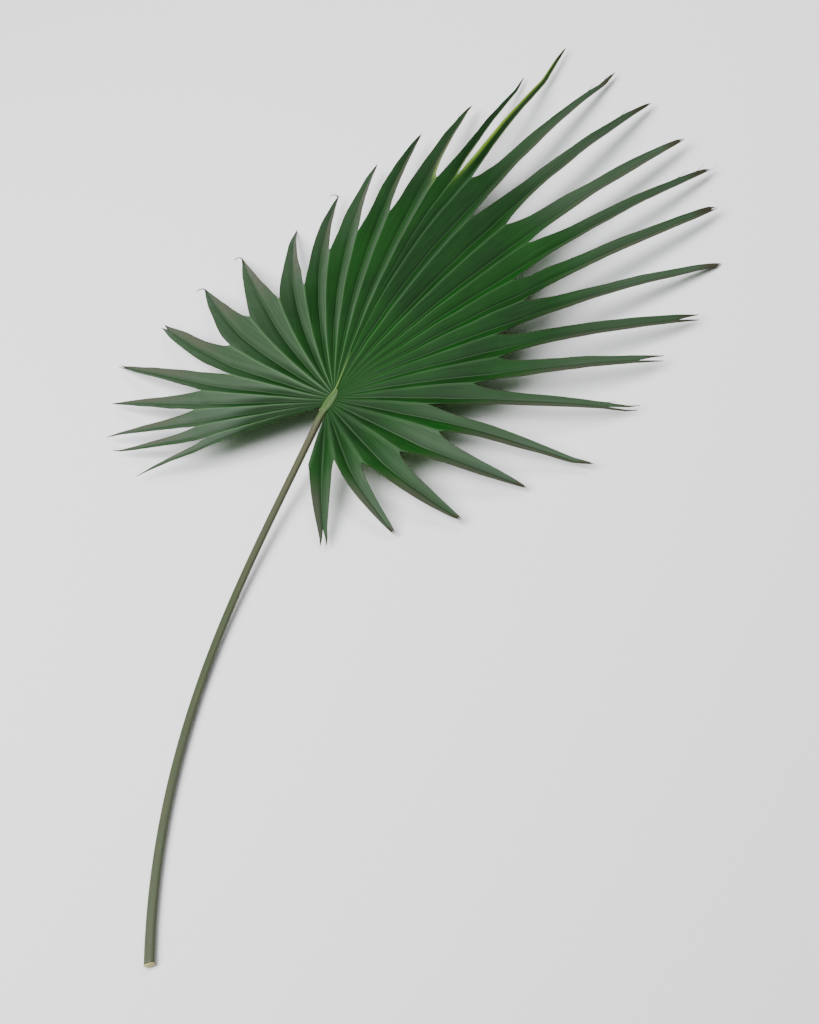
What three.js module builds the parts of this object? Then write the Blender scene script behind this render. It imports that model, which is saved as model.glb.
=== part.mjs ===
// A fan palm leaf, picked and laid down with its upper face up.
// One pleated fan blade is cut at its edge into tapering segments, and joins a long, gently curved leaf stalk.
// The stalk runs on into the blade as a short pointed costa, from whose sides all the pleats spread.
// Millimetres, +Z up, +Y from the stalk to the middle of the fan, origin under the middle of the leaf.
import * as THREE from "three";

// The fan: its segments run from the left lobe beside the stalk, round the far end, to the right lobe.
const SEGMENTS = 29;
const BLADE_THICKNESS = 0.9;
const MIDRIB_DEPTH = 0.9;

// Values at eight even steps round the fan, from the left lobe's outer edge to the right lobe's.
const FAN_CENTRE = 20; // the middle of the tips' bearings, on +Y
const TIP_BEARING = [124.5, 91, 46, 15, -12, -50, -92, -153]; // degrees from +Y, left is positive
const TIP_REACH = [285, 399, 420, 607, 636, 503, 356, 210];
const NOTCH_SHARE = [0.586, 0.505, 0.561, 0.603, 0.55, 0.476, 0.49, 0.473]; // how far out the slits begin
const PLEAT_ANGLE = [28, 30, 30, 26, 23, 22, 24, 30]; // degrees that each side of a pleat rises
const RIB_BOW = [-0.014, -0.043, -0.042, -0.016, 0.003, 0, 0.024, 0]; // to the right, as a share of reach
const FREE_FOLD = 22; // degrees that each side of a free segment rises
const TAPER_POWER = [0.9, 0.92, 0.88, 0.62, 0.47, 0.3, 0.62, 0.55]; // 1 is a straight taper, less a fuller one
// Just past its slits a segment loses this share of its width, most of it within NECK_SHARE of its free part.
const NECK = [0.05, 0.08, 0.1, 0.26, 0.38, 0.38, 0.28, 0.18];
const NECK_SHARE = 0.13;

// What each segment, or each slit between two, adds to those smooth values, from the left lobe.
const TIP_EXTRA = [
  -3, 12, -1, -8, 9, -7, -3, 16, 8, -7, -20, -28, -11, 29, 74, 29, -6, -25, -6, 0, 8, 2, -4, 14, 32, 4, 14, 5, 12,
];
const TIP_SWAY = [ // to the right
  -3, 16, -4, 1, 0, 7, 4, -12, 1, 9, 6, 4, -4, -22, -68, -24, -2, 19, 4, -9, -4, 9, 1, 6, 27, -6, -15, -20, -6,
];
const SWAY_POWER = 1.4; // 1 swings a free segment straight from its slit, more bends it towards its tip
const SLIT_EXTRA = [
  -6, 6, 5, 0, -39, 3, 23, 7, -15, 6, -16, -20, 31, 28, 25, -44, -16, 4, -16, 10, -13, 6, -5, -42, 14, 7, 2, -9,
];

// Single segments that differ from their neighbours, by number from the left lobe.
const LAST_SPREAD = -10; // degrees, the last segment spreads further, close to the stalk
const EXTRA_BOW = { // by fan place, added to the smooth bow
  13.5: -0.01, 14: -0.03, 14.5: -0.045, 15: -0.055, 15.5: -0.044, 16: -0.032, 16.5: -0.02, 17: -0.01,
};
const EXTRA_NECK = { 14: -0.1, 15: 0.12 }; // by segment, added to its neck
const FULL_TAPER = { 4: 0.7, 5: 0.6, 21: 0.26, 22: 0.3, 23: 0.4 }; // by segment, in place of TAPER_POWER
const TIGHT_FOLD = { 13: 44, 14: 42 }; // degrees
const DEEP_SPLIT = { 4: 16, 5: 18, 21: 26, 22: 34, 23: 42, 28: 26 }; // length of the split in the tip
const RESTING_TIPS = [8, 20]; // these two tips and the stalk's cut end carry the leaf

// Heights above the surface that the leaf lies on.
const HUB_HEIGHT = 40;
const TIP_HEIGHT = 7;
const RESTING_HEIGHT = 0.9; // the middle of a resting tip, with room below it for the midrib
const ARCH_SHARE = 0.04; // how high the blade arches between root and tip, as a share of its reach

// The costa: the pointed end of the stalk inside the blade, an ellipse seen from above.
const COSTA_CENTRE = 11;
const COSTA_HALF_LENGTH = 23;
const COSTA_HALF_WIDTH = 7.5;
const COSTA_RISE = 0.12;
const ROOT_TURN_SHARE = 0.88; // the pleats' roots turn this much of their bearing round the costa
const SEAT_GAP = 0.5; // between the costa's side and the pleats' roots

// The stalk, from its cut end to the costa.
const STALK_LENGTH = 830;
const STALK_HEADING = [2.5, 36.5]; // degrees from -Y towards the right lobe, at the blade and at the cut
const STALK_HALF_WIDTH = [5.2, 6.6]; // at the blade and at the cut
const STALK_DEPTH_SHARE = 0.82; // how deep the stalk is for its width
const STALK_RINGS = 36;
const STALK_SIDES = 12;
const STALK_SAG_POWER = 2.6; // how soon the stalk comes down to the surface

// How finely each segment is divided along its length.
const JOINED_ROWS = [0, 0.1, 0.24, 0.42, 0.62, 0.82, 1];
const FREE_ROWS = [0.05, 0.14, 0.27, 0.42, 0.57, 0.72, 0.87, 1];
const SPLIT_ROWS = [0.5, 1];
const SHORTEST_SPLIT = 7;

const { sin, cos, tan, exp, hypot, floor, min, max, PI } = Math;
const rad = THREE.MathUtils.degToRad;

// A smooth curve through evenly spaced values; place runs from 0 to 1.
function along(values, place) {
  const last = values.length - 1;
  const x = min(max(place, 0), 1) * last;
  const i = min(floor(x), last - 1);
  const t = x - i;
  const at = (n) => values[min(max(n, 0), last)];
  const [a, b, c, d] = [at(i - 1), at(i), at(i + 1), at(i + 2)];
  return b + 0.5 * t * (c - a + t * (2 * a - 5 * b + 4 * c - d + t * (3 * (b - c) + d - a)));
}

// A repeatable draw between -1 and 1 for a segment or slit.
function wobble(index, salt) {
  const x = sin(index * 12.9898 + salt * 78.233) * 43758.5453;
  return 2 * (x - floor(x)) - 1;
}

// The line that a rib follows at fan place k (0 to SEGMENTS, midribs at halves and pleat edges at whole numbers).
function ribLine(k) {
  const place = k / SEGMENTS;
  const smooth = rad(along(TIP_BEARING, place));
  const turn = smooth * ROOT_TURN_SHARE;
  const bearing = smooth + rad(LAST_SPREAD) * max(0, k - (SEGMENTS - 1));
  const rootX = -COSTA_HALF_WIDTH * sin(turn);
  const rootY = COSTA_CENTRE + COSTA_HALF_LENGTH * cos(turn);
  const reach = along(TIP_REACH, place);
  const root = new THREE.Vector3(rootX, rootY, HUB_HEIGHT + COSTA_RISE * rootY);
  const tip = new THREE.Vector3(-reach * sin(bearing), FAN_CENTRE + reach * cos(bearing), TIP_HEIGHT);
  const heading = tip.clone().sub(root).setZ(0).normalize();
  const right = new THREE.Vector3(heading.y, -heading.x, 0);
  const bow = along(RIB_BOW, place) + (EXTRA_BOW[k] ?? 0);
  return { root, tip, length: hypot(tip.x - root.x, tip.y - root.y), place, right, bow };
}

// A point on a rib's arch, a distance out from its root as seen from above. The rib bows sideways too.
function archPoint(rib, distance) {
  const t = distance / rib.length;
  const hump = 4 * rib.length * t * (1 - t);
  const p = rib.root.clone().lerp(rib.tip, t);
  p.addScaledVector(rib.right, rib.bow * hump);
  p.z = max(TIP_HEIGHT, p.z + ARCH_SHARE * hump);
  return p;
}

// Half the width of one pleat, as seen from above, at a distance out from the roots.
function halfPitch(k, distance) {
  const inner = min(max(k, 0.5), SEGMENTS - 0.5);
  const a = archPoint(ribLine(inner - 0.5), distance);
  const b = archPoint(ribLine(inner + 0.5), distance);
  return hypot(a.x - b.x, a.y - b.y) / 2;
}

function pleatRise(k, distance) {
  const angle = rad(along(PLEAT_ANGLE, k / SEGMENTS));
  const opening = min(1, distance / 30);
  return tan(angle) * halfPitch(k, distance) * opening;
}

function notchDistance(k) {
  const rib = ribLine(k);
  return rib.length * along(NOTCH_SHARE, rib.place) + (SLIT_EXTRA[k - 1] ?? 0);
}

// A pleat's upper edge, shared by two segments as far as the slit between them.
function edgePoint(k, distance) {
  const p = archPoint(ribLine(k), distance);
  p.z += pleatRise(k, distance) / 2;
  return p;
}

// The midrib of segment i, in the fold's valley, a distance out from its root.
function valleyPoint(i, distance) {
  const p = archPoint(ribLine(i + 0.5), distance);
  p.z -= pleatRise(i + 0.5, distance) / 2;
  return p;
}

// What sets one segment's free, tapering part.
function segmentFacts(i) {
  const rib = ribLine(i + 0.5);
  const joined = (notchDistance(i) + notchDistance(i + 1)) / 2;
  const length = rib.length + TIP_EXTRA[i];
  const split = DEEP_SPLIT[i] ?? SHORTEST_SPLIT * (1 + 0.3 * wobble(i, 6));
  const pleat = rad(along(PLEAT_ANGLE, rib.place));
  const rests = RESTING_TIPS.includes(i);
  return {
    rib,
    joined,
    length,
    splitAt: 1 - split / (length - joined),
    pleat,
    fold: rad(TIGHT_FOLD[i] ?? FREE_FOLD + 8 * wobble(i, 2)),
    panel: halfPitch(i + 0.5, joined) / cos(pleat),
    drop: rests ? RESTING_HEIGHT - TIP_HEIGHT : 1.5 + 4 * wobble(i, 4),
    twist: rad(10 * wobble(i, 7)),
    taperPower: FULL_TAPER[i] ?? along(TAPER_POWER, rib.place),
    neck: along(NECK, rib.place) + (EXTRA_NECK[i] ?? 0),
  };
}

// Point on segment i's free part: s from the slit (0) to the tip (1), side -1 left or 1 right,
// across from the midrib (0) to the margin (1).
function freePoint(i, facts, s, side, across) {
  const { rib, joined, length, splitAt } = facts;
  const { right } = rib;
  const distance = joined + (length - joined) * s;
  const centre = archPoint(rib, distance);
  centre.z -= (pleatRise(i + 0.5, joined) / 2) * (1 - s) ** 2;
  centre.z += facts.drop * s * s;
  centre.addScaledVector(right, TIP_SWAY[i] * s ** SWAY_POWER);

  const v = max(0, (s - splitAt) / (1 - splitAt));
  const full = facts.panel * (1 - facts.neck * (1 - exp(-s / NECK_SHARE)));
  const panel = full * (1 - min(s, splitAt)) ** facts.taperPower * (1 - 0.3 * v);
  const reach = panel * across;
  const angle = THREE.MathUtils.lerp(facts.pleat, facts.fold, min(1, s * 4));
  const rise = angle - side * facts.twist * s;
  centre.addScaledVector(right, side * reach * cos(rise));
  centre.z += reach * sin(rise) * (1 - 0.6 * v);

  // The margin starts exactly at the slit's end, and leaves that point behind as the segment narrows.
  const slit = edgePoint(side < 0 ? i : i + 1, notchDistance(side < 0 ? i : i + 1));
  const start = valleyPoint(i, joined);
  start.addScaledVector(right, side * facts.panel * cos(facts.pleat));
  start.z += facts.panel * sin(facts.pleat);
  return centre.addScaledVector(slit.sub(start), across * (1 - s) ** 5);
}

// The blade's middle surface as rows of points, welded where segments join.
class Sheet {
  points = [];
  faces = [];
  keel = new Set();

  add(point, isMidrib = false) {
    this.points.push(point);
    if (isMidrib) this.keel.add(this.points.length - 1);
    return this.points.length - 1;
  }

  // Two triangles for each step between two lines of points, the left line first.
  fill(left, right) {
    for (let j = 1; j < left.length; j++) {
      this.faces.push([left[j - 1], right[j - 1], right[j]], [left[j - 1], right[j], left[j]]);
    }
  }

  // A closed solid: an upper and a lower face alike, and a wall along every open edge.
  thicken(thickness, keelDepth) {
    const flat = new THREE.BufferGeometry().setFromPoints(this.points);
    flat.setIndex(this.faces.flat());
    flat.computeVertexNormals();
    const normals = flat.getAttribute("normal");
    const lift = (id, amount) => {
      const normal = new THREE.Vector3().fromBufferAttribute(normals, id);
      return this.points[id].clone().addScaledVector(normal, amount);
    };
    const upper = this.points.map((_, id) => lift(id, thickness / 2));
    const lower = this.points.map((_, id) => lift(id, -thickness / 2 - (this.keel.has(id) ? keelDepth : 0)));
    const count = this.points.length;
    const index = this.faces.flatMap(([a, b, c]) => [a, b, c, c + count, b + count, a + count]);
    const open = new Map();
    for (const [a, b, c] of this.faces) {
      for (const [from, to] of [[a, b], [b, c], [c, a]]) {
        if (!open.delete(`${to},${from}`)) open.set(`${from},${to}`, [from, to]);
      }
    }
    for (const [from, to] of open.values()) {
      index.push(from, from + count, to + count, from, to + count, to);
    }
    const solid = new THREE.BufferGeometry().setFromPoints([...upper, ...lower]);
    solid.setIndex(index);
    return solid;
  }
}

function bladeGeometry() {
  const sheet = new Sheet();
  const joinedEdges = [];
  for (let k = 0; k <= SEGMENTS; k++) {
    const notch = notchDistance(k);
    joinedEdges.push(JOINED_ROWS.map((share) => sheet.add(edgePoint(k, share * notch))));
  }
  for (let i = 0; i < SEGMENTS; i++) {
    const facts = segmentFacts(i);
    const joinedValley = JOINED_ROWS.map((share) => sheet.add(valleyPoint(i, share * facts.joined), share > 0));
    sheet.fill(joinedEdges[i], joinedValley);
    sheet.fill(joinedValley, joinedEdges[i + 1]);

    // The free part, as far as the split in its tip.
    const shares = FREE_ROWS.map((row) => row * facts.splitAt);
    const line = (side, across) => shares.map((s) => sheet.add(freePoint(i, facts, s, side, across), across === 0));
    const valley = [joinedValley.at(-1), ...line(1, 0)];
    const left = [joinedEdges[i].at(-1), ...line(-1, 1)];
    const right = [joinedEdges[i + 1].at(-1), ...line(1, 1)];
    sheet.fill(left, valley);
    sheet.fill(valley, right);

    // The two points of the tip, each narrowing from the split to its own end.
    const split = (side, across) => SPLIT_ROWS.map((v) => {
      const s = facts.splitAt + (1 - facts.splitAt) * v;
      return sheet.add(freePoint(i, facts, s, side, across(v)));
    });
    const inner = (v) => 0.12 + 0.62 * v;
    sheet.fill([left.at(-1), ...split(-1, () => 1)], [valley.at(-1), ...split(-1, inner)]);
    sheet.fill([valley.at(-1), ...split(1, inner)], [right.at(-1), ...split(1, () => 1)]);
  }
  return sheet.thicken(BLADE_THICKNESS, MIDRIB_DEPTH);
}

// The stalk's middle line from the blade (share 0) to the cut end (share 1).
function stalkLine(steps) {
  const points = [];
  const p = new THREE.Vector3(0, COSTA_CENTRE - COSTA_HALF_LENGTH, 0);
  const step = STALK_LENGTH / steps;
  for (let n = 0; n <= steps; n++) {
    const share = n / steps;
    const floorHeight = STALK_HALF_WIDTH[1] * STALK_DEPTH_SHARE;
    p.z = floorHeight + (HUB_HEIGHT + COSTA_RISE * p.y * (1 - share) - floorHeight) * (1 - share) ** STALK_SAG_POWER;
    points.push(p.clone());
    const heading = rad(THREE.MathUtils.lerp(...STALK_HEADING, share));
    p.x += step * sin(heading);
    p.y -= step * cos(heading);
  }
  return points;
}

// One ring of the stalk: rounded below, flatter above, level across.
function stalkRing(centre, heading, halfWidth, depth) {
  const right = new THREE.Vector3(heading.y, -heading.x, 0).normalize();
  const up = new THREE.Vector3().crossVectors(right, heading).normalize();
  const ring = [];
  for (let n = 0; n < STALK_SIDES; n++) {
    const turn = (2 * PI * n) / STALK_SIDES;
    const flatter = sin(turn) > 0 ? 0.72 : 1;
    const p = centre.clone().addScaledVector(right, halfWidth * cos(turn));
    ring.push(p.addScaledVector(up, depth * flatter * sin(turn)));
  }
  return ring;
}

// Rings joined into a closed body, capped at both ends. They run the way that heading points.
function loft(rings) {
  const sides = rings[0].length;
  const middle = (ring) => ring.reduce((sum, p) => sum.add(p), new THREE.Vector3()).divideScalar(sides);
  const points = [...rings.flat(), middle(rings[0]), middle(rings.at(-1))];
  const first = points.length - 2;
  const last = points.length - 1;
  const index = [];
  for (let n = 0; n < sides; n++) {
    const next = (n + 1) % sides;
    for (let r = 0; r < rings.length - 1; r++) {
      const a = r * sides + n;
      const b = r * sides + next;
      index.push(a, b + sides, b, a, a + sides, b + sides);
    }
    const end = (rings.length - 1) * sides;
    index.push(first, n, next, last, end + next, end + n);
  }
  const solid = new THREE.BufferGeometry().setFromPoints(points);
  solid.setIndex(index);
  return solid;
}

function stalkGeometry() {
  const line = stalkLine(STALK_RINGS).reverse();
  const rings = line.map((centre, n) => {
    const share = 1 - n / STALK_RINGS;
    const ahead = line[min(n + 1, STALK_RINGS)];
    const behind = line[max(n - 1, 0)];
    const heading = ahead.clone().sub(behind).normalize();
    const halfWidth = THREE.MathUtils.lerp(...STALK_HALF_WIDTH, share ** 1.4);
    return stalkRing(centre, heading, halfWidth, halfWidth * STALK_DEPTH_SHARE);
  });
  // The costa follows the ellipse of the pleats' roots, just inside it, to its point.
  const heading = new THREE.Vector3(0, 1, COSTA_RISE).normalize();
  for (const share of [-0.72, -0.4, 0, 0.35, 0.65, 0.86, 0.97]) {
    const y = COSTA_CENTRE + COSTA_HALF_LENGTH * share;
    const halfWidth = COSTA_HALF_WIDTH * (1 - share * share) ** 0.5 - SEAT_GAP;
    const depth = STALK_HALF_WIDTH[0] * STALK_DEPTH_SHARE * (1 - 0.55 * (share + 0.72) / 1.69);
    const centre = new THREE.Vector3(0, y, HUB_HEIGHT + COSTA_RISE * y);
    rings.push(stalkRing(centre, heading, halfWidth, depth));
  }
  return loft(rings);
}

function leafPart(name, geometry, colour, roughness) {
  const material = new THREE.MeshStandardMaterial({ color: colour, roughness, metalness: 0 });
  const mesh = new THREE.Mesh(geometry, material);
  mesh.name = name;
  return mesh;
}

const leaf = new THREE.Group();
leaf.add(leafPart("fan_blade", bladeGeometry(), 0x27541f, 0.45));
leaf.add(leafPart("leaf_stalk", stalkGeometry(), 0x6d7646, 0.55));

// The origin is under the middle of the leaf's box, on the surface that it lies on.
const box = new THREE.Box3().setFromObject(leaf, true);
const middle = box.getCenter(new THREE.Vector3());
leaf.position.set(-middle.x, -middle.y, -box.min.z);

export default leaf;
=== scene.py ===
# A picked fan palm leaf that lies with its upper face up.
# The pleated fan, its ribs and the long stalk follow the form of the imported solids, drawn more finely.
from functools import lru_cache
from math import cos, exp, floor, hypot, pi, radians, sin, tan

import bmesh
import bpy
from mathutils import Matrix, Vector, noise


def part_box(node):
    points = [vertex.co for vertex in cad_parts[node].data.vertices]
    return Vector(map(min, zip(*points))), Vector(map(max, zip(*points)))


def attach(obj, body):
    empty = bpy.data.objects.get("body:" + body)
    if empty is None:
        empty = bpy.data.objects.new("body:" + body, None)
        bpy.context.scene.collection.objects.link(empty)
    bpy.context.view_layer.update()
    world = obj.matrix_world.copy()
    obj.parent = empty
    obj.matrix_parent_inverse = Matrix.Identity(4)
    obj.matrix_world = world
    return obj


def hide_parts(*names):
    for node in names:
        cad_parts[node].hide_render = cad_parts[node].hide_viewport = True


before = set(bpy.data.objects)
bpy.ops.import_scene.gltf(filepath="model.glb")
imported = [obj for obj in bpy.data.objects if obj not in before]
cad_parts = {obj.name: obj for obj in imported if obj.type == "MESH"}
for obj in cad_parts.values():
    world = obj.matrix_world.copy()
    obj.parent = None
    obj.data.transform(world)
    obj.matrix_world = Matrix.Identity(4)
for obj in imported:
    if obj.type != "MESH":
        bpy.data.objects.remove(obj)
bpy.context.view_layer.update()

# The fan: its segments run from the left lobe beside the stalk, round the far end, to the right lobe.
SEGMENTS = 29

# Values at eight even steps round the fan, from the left lobe's outer edge to the right lobe's.
FAN_CENTRE = 0.020  # the middle of the tips' bearings, on +Y
TIP_BEARING = (124.5, 91, 46, 15, -12, -50, -92, -153)  # degrees from +Y, left is positive
TIP_REACH = (0.285, 0.399, 0.420, 0.607, 0.636, 0.503, 0.356, 0.210)
NOTCH_SHARE = (0.586, 0.505, 0.561, 0.603, 0.55, 0.476, 0.49, 0.473)  # how far out the slits begin
PLEAT_ANGLE = (28, 30, 30, 26, 23, 22, 24, 30)  # degrees that each side of a pleat rises
RIB_BOW = (-0.014, -0.043, -0.042, -0.016, 0.003, 0, 0.024, 0)  # to the right, as a share of reach
TAPER_POWER = (0.9, 0.92, 0.88, 0.62, 0.47, 0.3, 0.62, 0.55)  # 1 is a straight taper, less a fuller one
NECK = (0.05, 0.08, 0.1, 0.26, 0.38, 0.38, 0.28, 0.18)  # the share of its width lost just past the slits

# What each segment, or each slit between two, adds to those smooth values, in mm from the left lobe.
TIP_EXTRA = (
    *(-3, 12, -1, -8, 9, -7, -3, 16, 8, -7, -20, -28, -11, 29, 74),
    *(29, -6, -25, -6, 0, 8, 2, -4, 14, 32, 4, 14, 5, 12),
)
TIP_SWAY = (  # to the right
    *(-3, 16, -4, 1, 0, 7, 4, -12, 1, 9, 6, 4, -4, -22, -68),
    *(-24, -2, 19, 4, -9, -4, 9, 1, 6, 27, -6, -15, -20, -6),
)
SLIT_EXTRA = (
    *(-6, 6, 5, 0, -39, 3, 23, 7, -15, 6, -16, -20, 31, 28),
    *(25, -44, -16, 4, -16, 10, -13, 6, -5, -42, 14, 7, 2, -9),
)
MM = 0.001

# Single segments that differ from their neighbours, by number from the left lobe.
LAST_SPREAD = -10  # degrees, the last segment spreads further, close to the stalk
EXTRA_BOW = {  # by fan place, added to the smooth bow
    13.5: -0.01, 14: -0.03, 14.5: -0.045, 15: -0.055, 15.5: -0.044, 16: -0.032, 16.5: -0.02, 17: -0.01,
}
EXTRA_NECK = {14: -0.1, 15: 0.12}  # added to its neck
FULL_TAPER = {4: 0.7, 5: 0.6, 21: 0.26, 22: 0.3, 23: 0.4}  # in place of TAPER_POWER
TIGHT_FOLD = {13: 44, 14: 42}  # degrees, in place of FREE_FOLD
DEEP_SPLIT = {4: 0.016, 5: 0.018, 21: 0.026, 22: 0.034, 23: 0.042, 28: 0.026}
RESTING_TIPS = (8, 20)

# Heights above the surface that the leaf lies on.
HUB_HEIGHT = 0.040
TIP_HEIGHT = 0.007
RESTING_HEIGHT = 0.0009
ARCH_SHARE = 0.04  # of a rib's length: how far its arch rises over a straight line

# The pleats and the free segments.
PLEATS_OPEN_BY = 0.030  # the pleats reach their full depth this far out from their roots
FREE_FOLD = 22  # degrees that each side of a free segment rises
FOLD_TURN = 0.25  # the share of the free part over which a pleat's angle turns into the free fold's
NECK_SHARE = 0.13  # most of the neck's loss of width happens within this share of the free part
SWAY_POWER = 1.4
SLIT_BLEND_POWER = 5  # how soon past its slit a free margin leaves the pleat's edge
TIP_RISE = 0.0015  # a free tip's, above its rib
PANEL_BULGE = 0.035  # of a panel's width
MARGIN_WAVES = 20  # to the metre
MARGIN_UNEVENNESS = 0.13
MARGIN_OFFSETS = (7.3, 3.1)  # how far apart in the noise two segments and two sides are
MARGIN_FADE = 0.125  # the share of the free part over which the unevenness comes in

# The split at each tip.
SHORTEST_SPLIT = 0.007
SHORT_PRONG_NARROWING = 0.75  # the share of their width that a split tip's prongs lose
DEEP_PRONG_NARROWING = 0.3
PRONG_FLATTENING = 0.6  # the share of their fold's height that they lose
SPLIT_OPENING = 0.88  # the share of a panel that the split takes at the end
SPLIT_OPENING_POWER = 1.2

# What a draw for each segment adds at most, up or down, and the number of that draw.
SPLIT_DRAW = (0.3, 6)  # as a share of SHORTEST_SPLIT
FOLD_DRAW = (8, 2)  # degrees
TIP_RISE_DRAW = (0.004, 4)
TWIST_DRAW = (10, 7)  # degrees, at the tip
# the draw for each segment's painted sheen
PAINTED_SHEEN_DRAW = (0.12, 8)
HASH_STEPS = (12.9898, 78.233)  # these two spread the draws evenly
HASH_SCALE = 43758.5453

# The costa: the pointed end of the stalk inside the blade, an ellipse seen from above.
COSTA_CENTRE = 0.011
COSTA_HALF_LENGTH = 0.023
COSTA_HALF_WIDTH = 0.0075
COSTA_SHARES = (-0.72, 0.97)  # where it begins and ends, from its centre
COSTA_RISE = 0.12
COSTA_THINNING = 0.55  # the share of its depth that it loses towards its point
ROOT_TURN_SHARE = 0.88  # of a rib's bearing: where round the costa it is rooted

# The stalk, from the costa to its cut end.
STALK_LENGTH = 0.830
STALK_HEADING = (2.5, 36.5)  # degrees from -Y towards the right lobe, at the blade and at the cut
STALK_HALF_WIDTH = (0.0052, 0.0066)
STALK_WIDTH_POWER = 1.4
STALK_DEPTH_SHARE = 0.82
STALK_SAG_POWER = 2.6
STALK_STEPS = 36

# The blade's own finish.
BLADE_THICKNESS = 0.0006
WELD_DISTANCE = 1e-5
REACH_UNIT = 0.7  # metres out from the roots that count as 1 in the blade's "where" layer
SWELLS = ((0.0011, 22), (0.0004, 75))  # the blade's soft unevenness: (height, waves to the metre)
SWELL_RANGE = (0.002, 0.0585)  # it ends at these heights
SWELL_FADE = (0.012, 0.004)  # and fades over these

# The grids' rows and columns.
COLUMNS = 8
JOINED_ROWS = 40
FREE_ROWS = 36
SPLIT_ROWS = 8
BLADE_ROWS = JOINED_ROWS + FREE_ROWS + SPLIT_ROWS
ROW_POWER = 1.25  # rows lie closer together at the roots and just past the slits

# Painted yellow-green glow of light shining through the thin blade, by (segment, side): where it begins
# and where it is full, in REACH_UNITs, its inner edge across the panel, and how strong it gets.
PAINTED_GLOW_MARGINS = {
    (12, 1): (0.47, 0.60, 0.76, 0.9),
    (13, 1): (0.50, 0.66, 0.70, 0.6),
    (14, -1): (0.52, 0.68, 0.60, 1.0),
    (14, 1): (0.62, 0.78, 0.45, 0.9),
}
PAINTED_GLOW_EDGE = 0.22  # the share of the panel over which it comes in

# The painted greyish sheen, painted light and shade by place round the fan: the joined part's, and what
# each share of it adds.
PAINTED_SHEEN = (0.9, 0.95, 0.85, 0.3, -0.15, -0.35, 0.0, 0.2)
RIGHT_SIDE_PAINTED_SHADING = (0.5, 0.6, 0.75, 0.85, 0.45, 0.15, 0.05, -0.1)  # painted light on a fold's right side, the side that faces the light, towards the crest
RIGHT_SIDE_PAINTED_SHADING_START = 0.15  # across the panel
LEFT_SIDE_PAINTED_SHADING = (-0.2, -0.3, -0.5, -0.5, -0.3, 0.0, 0.45, 0.6)  # painted shade on a fold's left side, turning to painted light at the right lobe
FREE_PAINTED_SHEEN = (0.3, 0.3, 0.0, 0.1, 0.8, 0.8, 0.35, 0.2)  # painted sheen on both sides past the slit
FREE_LEFT_PAINTED_LIGHT = (0.35, 0.35, 0.2, 0.1, 0.35, 0.35, 0.35, 0.4)  # painted light on the left side past the slit
PAINTED_SHEEN_TURN = (0.35, 0.85)  # the shares of length between which it turns into the free part's
LOBE_PAINTED_SHADE = -1.7  # painted shade that the left lobe's outer segment adds near the hub
LOBE_SEGMENTS = 5  # and how many segments that takes to end
HUB_PAINTED_SHADE = -0.8  # painted shade: the sheen that all have less of round the hub
HUB_FADE = (0.03, 0.24)  # and how far out that ends, in REACH_UNITs


def clamp(value, low, high):
    return min(max(value, low), high)


def fade(value, low, high):
    """A smooth step from 0 at low to 1 at high."""
    t = clamp((value - low) / (high - low), 0, 1)
    return t * t * (3 - 2 * t)


def along(values, place):
    """A smooth curve through evenly spaced values. place runs from 0 to 1."""
    last = len(values) - 1
    x = clamp(place, 0, 1) * last
    i = min(floor(x), last - 1)
    t = x - i
    a, b, c, d = (values[clamp(n, 0, last)] for n in (i - 1, i, i + 1, i + 2))
    return b + 0.5 * t * (c - a + t * (2 * a - 5 * b + 4 * c - d + t * (3 * (b - c) + d - a)))


def wobble(index, most, draw):
    """A repeatable value between -most and most for a segment or thread."""
    x = sin(index * HASH_STEPS[0] + draw * HASH_STEPS[1]) * HASH_SCALE
    return most * (2 * (x - floor(x)) - 1)


class Rib:
    """The line that a rib follows at fan place k.

    Midribs are at halves, and the pleats' edges at whole numbers.
    """

    def __init__(self, k):
        self.place = k / SEGMENTS
        smooth = radians(along(TIP_BEARING, self.place))
        turn = smooth * ROOT_TURN_SHARE
        bearing = smooth + radians(LAST_SPREAD) * max(0, k - (SEGMENTS - 1))
        root_x = -COSTA_HALF_WIDTH * sin(turn)
        root_y = COSTA_CENTRE + COSTA_HALF_LENGTH * cos(turn)
        reach = along(TIP_REACH, self.place)
        self.root = Vector((root_x, root_y, HUB_HEIGHT + COSTA_RISE * root_y))
        self.tip = Vector((-reach * sin(bearing), FAN_CENTRE + reach * cos(bearing), TIP_HEIGHT))
        self.length = hypot(self.tip.x - root_x, self.tip.y - root_y)
        self.heading = (self.tip - self.root).to_2d().normalized().to_3d()
        self.right = Vector((self.heading.y, -self.heading.x, 0))
        self.bow = along(RIB_BOW, self.place) + EXTRA_BOW.get(k, 0)

    def arch(self, distance):
        """A point on the rib's arch, a distance out from its root as seen from above."""
        t = distance / self.length
        hump = 4 * self.length * t * (1 - t)
        point = self.root + (self.tip - self.root) * t + self.right * (self.bow * hump)
        point.z = max(TIP_HEIGHT, point.z + ARCH_SHARE * hump)
        return point


@lru_cache(maxsize=None)
def rib(k):
    return Rib(k)


@lru_cache(maxsize=None)
def half_pitch(k, distance):
    """Half the space between the ribs on both sides of fan place k."""
    inner = clamp(k, 0.5, SEGMENTS - 0.5)
    a = rib(inner - 0.5).arch(distance)
    b = rib(inner + 0.5).arch(distance)
    return hypot(a.x - b.x, a.y - b.y) / 2


@lru_cache(maxsize=None)
def pleat_rise(k, distance):
    """The height from a pleat's valley to its crest."""
    angle = radians(along(PLEAT_ANGLE, k / SEGMENTS))
    opening = min(1, distance / PLEATS_OPEN_BY)
    return tan(angle) * half_pitch(k, distance) * opening


@lru_cache(maxsize=None)
def notch_distance(k):
    """How far out from the roots the slit at fan place k begins."""
    extra = SLIT_EXTRA[k - 1] * MM if 0 < k < SEGMENTS else 0
    return rib(k).length * along(NOTCH_SHARE, rib(k).place) + extra


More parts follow.
